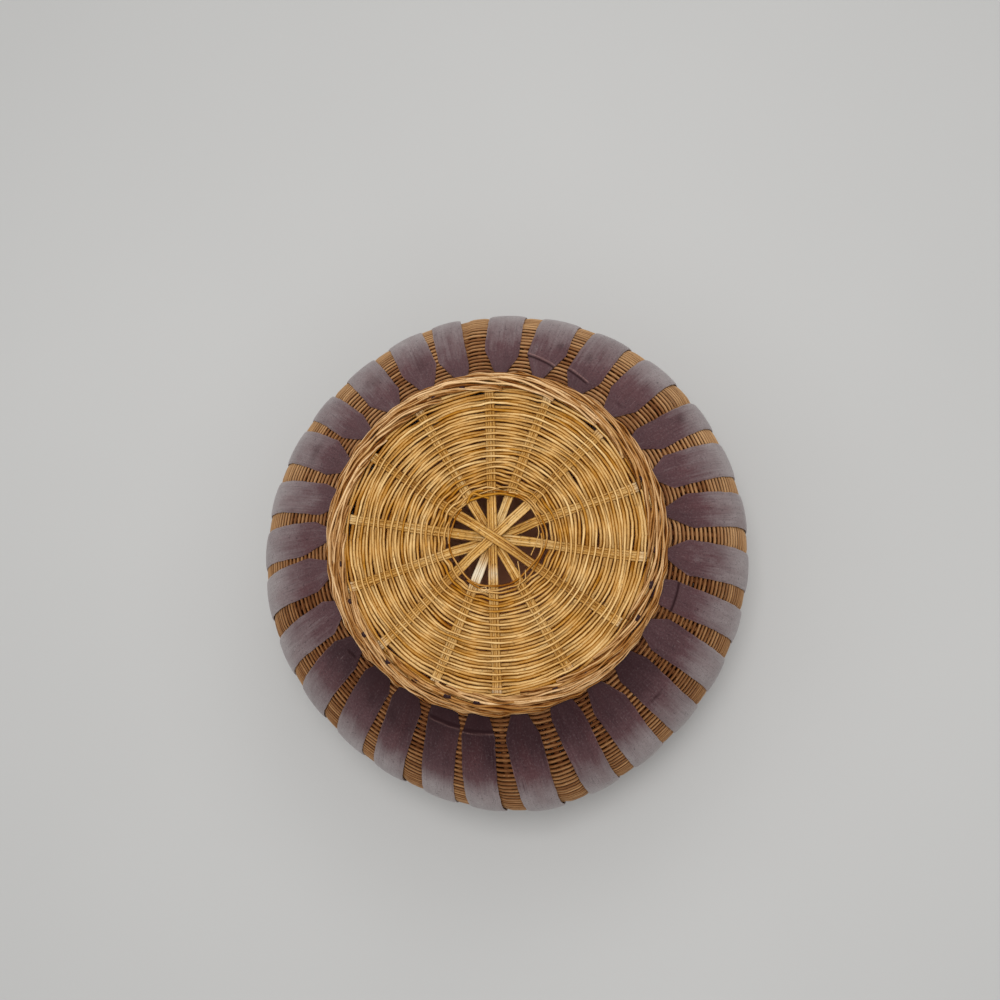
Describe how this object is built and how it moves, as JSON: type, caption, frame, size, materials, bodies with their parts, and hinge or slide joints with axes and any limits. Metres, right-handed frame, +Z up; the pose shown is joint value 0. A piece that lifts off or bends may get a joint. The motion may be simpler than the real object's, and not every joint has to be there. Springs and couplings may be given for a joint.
{
  "type": "woven bamboo basket",
  "caption": "Round globular bamboo basket with a woven base and wall, flat dyed slats down the outside, and cane borders at foot and rim, for holding dry food or small things.",
  "frame": {"origin": "middle of the rim, on the surface that the upturned basket stands on", "axes": "+Z up through the middle of the base, the basket standing on its rim as pictured; +X to the picture's right, +Y to its top"},
  "size_m": [0.2305, 0.2305, 0.12],
  "materials": {
    "base_bamboo": "satin, varnished golden bamboo",
    "wall_bamboo": "satin, orange-brown bamboo",
    "border_cane": "satin, split cane",
    "dyed_slat": "satin, dyed dark purple-brown with grain"
  },
  "bodies": {
    "root": {"base_spoke_1": "base_bamboo", "base_spoke_2": "base_bamboo", "base_spoke_3": "base_bamboo", "base_spoke_4": "base_bamboo", "base_spoke_5": "base_bamboo", "base_spoke_6": "base_bamboo", "base_spoke_7": "base_bamboo", "base_weft_outer": "base_bamboo", "base_weft_inner": "base_bamboo", "foot_wale_1": "border_cane", "foot_wale_2": "border_cane", "foot_wale_3": "border_cane", "wall_stakes": "wall_bamboo", "wall_weft_outer": "wall_bamboo", "wall_weft_inner": "wall_bamboo", "slat_01": "dyed_slat", "slat_02": "dyed_slat", "slat_03": "dyed_slat", "slat_04": "dyed_slat", "slat_05": "dyed_slat", "slat_06": "dyed_slat", "slat_07": "dyed_slat", "slat_08": "dyed_slat", "slat_09": "dyed_slat", "slat_10": "dyed_slat", "slat_11": "dyed_slat", "slat_12": "dyed_slat", "slat_13": "dyed_slat", "slat_14": "dyed_slat", "slat_15": "dyed_slat", "slat_16": "dyed_slat", "slat_17": "dyed_slat", "slat_18": "dyed_slat", "slat_19": "dyed_slat", "slat_20": "dyed_slat", "slat_21": "dyed_slat", "slat_22": "dyed_slat", "slat_23": "dyed_slat", "slat_24": "dyed_slat", "slat_25": "dyed_slat", "slat_26": "dyed_slat", "slat_27": "dyed_slat", "slat_28": "dyed_slat", "rim_wale_1": "border_cane", "rim_wale_2": "border_cane", "rim_wale_3": "border_cane", "rim_edge": "border_cane"}
  },
  "joints": []
}
